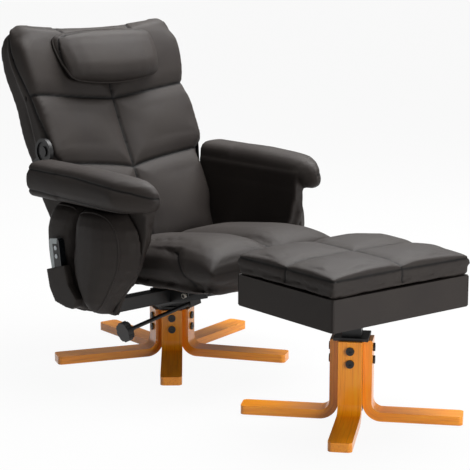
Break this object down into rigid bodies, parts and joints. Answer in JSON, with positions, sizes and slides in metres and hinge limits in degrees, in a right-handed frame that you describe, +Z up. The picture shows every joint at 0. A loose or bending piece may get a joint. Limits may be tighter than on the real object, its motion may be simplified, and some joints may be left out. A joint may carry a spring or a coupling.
{
  "type": "massage recliner with footstool",
  "caption": "Reclining swivel massage armchair in dark faux leather with curved padded arms, hand wheels and bent-wood star base, and a matching swivel footstool with a lidded storage box.",
  "frame": {"origin": "bottom centre of the box around the chair and its footstool, on the floor", "axes": "+Z up, -Y forward (the way the chair faces, towards the footstool), -X towards the chair's right side"},
  "size_m": [0.784, 1.502, 0.9797],
  "materials": {
    "leather": "dark brown-grey faux leather, soft grain, satin",
    "bent_wood": "honey-orange lacquered bentwood, gloss lacquer",
    "plywood": "raw birch plywood, sanded",
    "black_steel": "black powder coat, fine texture",
    "bright_steel": "turned steel",
    "black_plastic": "fine matte",
    "nylon": "natural nylon",
    "silver_plastic": "silver paint, satin"
  },
  "bodies": {
    "chair_base": {"chair_leg_1": "bent_wood", "chair_leg_2": "bent_wood", "chair_leg_3": "bent_wood", "chair_leg_4": "bent_wood", "chair_leg_5": "bent_wood", "chair_hub": "black_steel", "swivel_bush": "black_plastic", "chair_bolts": "black_steel", "chair_pads": "black_plastic"},
    "swivel_frame": {"swivel_carrier": "black_steel", "swivel_spindle": "bright_steel", "side_beams": "black_steel", "frame_bolts": "black_steel", "arm_board_right": "plywood", "arm_board_left": "plywood", "arm_panel_right": "leather", "arm_panel_left": "leather", "arm_pad_right": "leather", "arm_pad_left": "leather", "side_lobe_right": "leather", "side_lobe_left": "leather", "rear_lobe_right": "leather", "rear_lobe_left": "leather", "side_pocket": "leather", "recline_brackets": "black_steel"},
    "back": {"back_board": "plywood", "back_shell": "leather", "back_cushion": "leather", "pivot_plates": "black_steel", "pivot_cap": "black_plastic", "back_motor_case": "black_plastic"},
    "back_weight": {"back_eccentric": "bright_steel"},
    "wheel_right": {"hand_wheel": "black_plastic"},
    "pillow": {"head_pillow": "leather"},
    "seat": {"seat_board": "plywood", "seat_cushion": "leather", "seat_runner": "black_steel", "glide_blocks": "nylon", "seat_motor_case": "black_plastic", "seat_lead": "black_plastic"},
    "seat_weight": {"seat_eccentric": "bright_steel"},
    "lock": {"lock_rod": "black_steel", "lock_knob": "black_plastic"},
    "handset": {"handset_case": "silver_plastic", "handset_keypad": "black_plastic"},
    "power_key": {"power_button": "silver_plastic"},
    "mode_key": {"mode_button": "silver_plastic"},
    "stool_base": {"stool_leg_1": "bent_wood", "stool_leg_2": "bent_wood", "stool_leg_3": "bent_wood", "stool_leg_4": "bent_wood", "stool_hub": "black_steel", "stool_bolts": "black_steel", "stool_pads": "black_plastic"},
    "stool_top": {"stool_plate": "black_steel", "stool_box": "leather", "box_hinges": "black_steel"},
    "stool_lid": {"lid_hinges": "black_steel", "lid_board": "plywood", "lid_cushion": "leather"}
  },
  "joints": [
    {"name": "seat_swivel", "type": "hinge", "parent": "chair_base", "child": "swivel_frame", "pos_m": [0, 0.30477, 0.16], "axis": [0, 0, 1], "continuous": true},
    {"name": "back_recline", "type": "hinge", "parent": "swivel_frame", "child": "back", "pos_m": [0, 0.53477, 0.62], "axis": [-1, 0, 0], "range_deg": [0, 18]},
    {"name": "seat_glide", "type": "slide", "parent": "swivel_frame", "child": "seat", "axis": [0, -0.892, 0.4521], "range_m": [0, 0.10211]},
    {"name": "back_weight_spin", "type": "hinge", "parent": "back", "child": "back_weight", "pos_m": [0, 0.59497, 0.6026], "axis": [0, 0.866, -0.5], "continuous": true},
    {"name": "seat_weight_spin", "type": "hinge", "parent": "seat", "child": "seat_weight", "pos_m": [0, 0.09589, 0.2898], "axis": [0, 0.061, 0.9981], "continuous": true},
    {"name": "wheel_right_turn", "type": "hinge", "parent": "back", "child": "wheel_right", "pos_m": [0, 0.53477, 0.62], "axis": [1, 0, 0], "range_deg": [-180, 180]},
    {"name": "pillow_slide", "type": "slide", "parent": "back", "child": "pillow", "axis": [0, 0.342, 0.9397], "range_m": [-0.03, 0.02]},
    {"name": "lock_turn", "type": "hinge", "parent": "swivel_frame", "child": "lock", "pos_m": [0, 0.18477, 0.1863], "axis": [-0.9836, 0, -0.1805], "range_deg": [-180, 180]},
    {"name": "handset_lift", "type": "slide", "parent": "swivel_frame", "child": "handset", "axis": [0, 0.1392, 0.9903], "range_m": [0, 0.09]},
    {"name": "power_press", "type": "slide", "parent": "handset", "child": "power_key", "axis": [1, 0, 0], "range_m": [0, 0.001], "stiffness_N_per_m": 300},
    {"name": "mode_press", "type": "slide", "parent": "handset", "child": "mode_key", "axis": [1, 0, 0], "range_m": [0, 0.001], "stiffness_N_per_m": 300},
    {"name": "stool_push", "type": "slide", "parent": "chair_base", "child": "stool_base", "axis": [0, -1, 0], "range_m": [0, 0.25]},
    {"name": "stool_swivel", "type": "hinge", "parent": "stool_base", "child": "stool_top", "pos_m": [-0.057, -0.50723, 0.297], "axis": [0, 0, 1], "continuous": true},
    {"name": "lid_open", "type": "hinge", "parent": "stool_top", "child": "stool_lid", "pos_m": [-0.04355, -0.3149, 0.39025], "axis": [-0.9976, 0.0698, 0], "range_deg": [0, 95]}
  ],
  "couplings": [
    {"joint": "seat_glide", "follows": "back_recline", "m_per_rad": 0.32439}
  ]
}
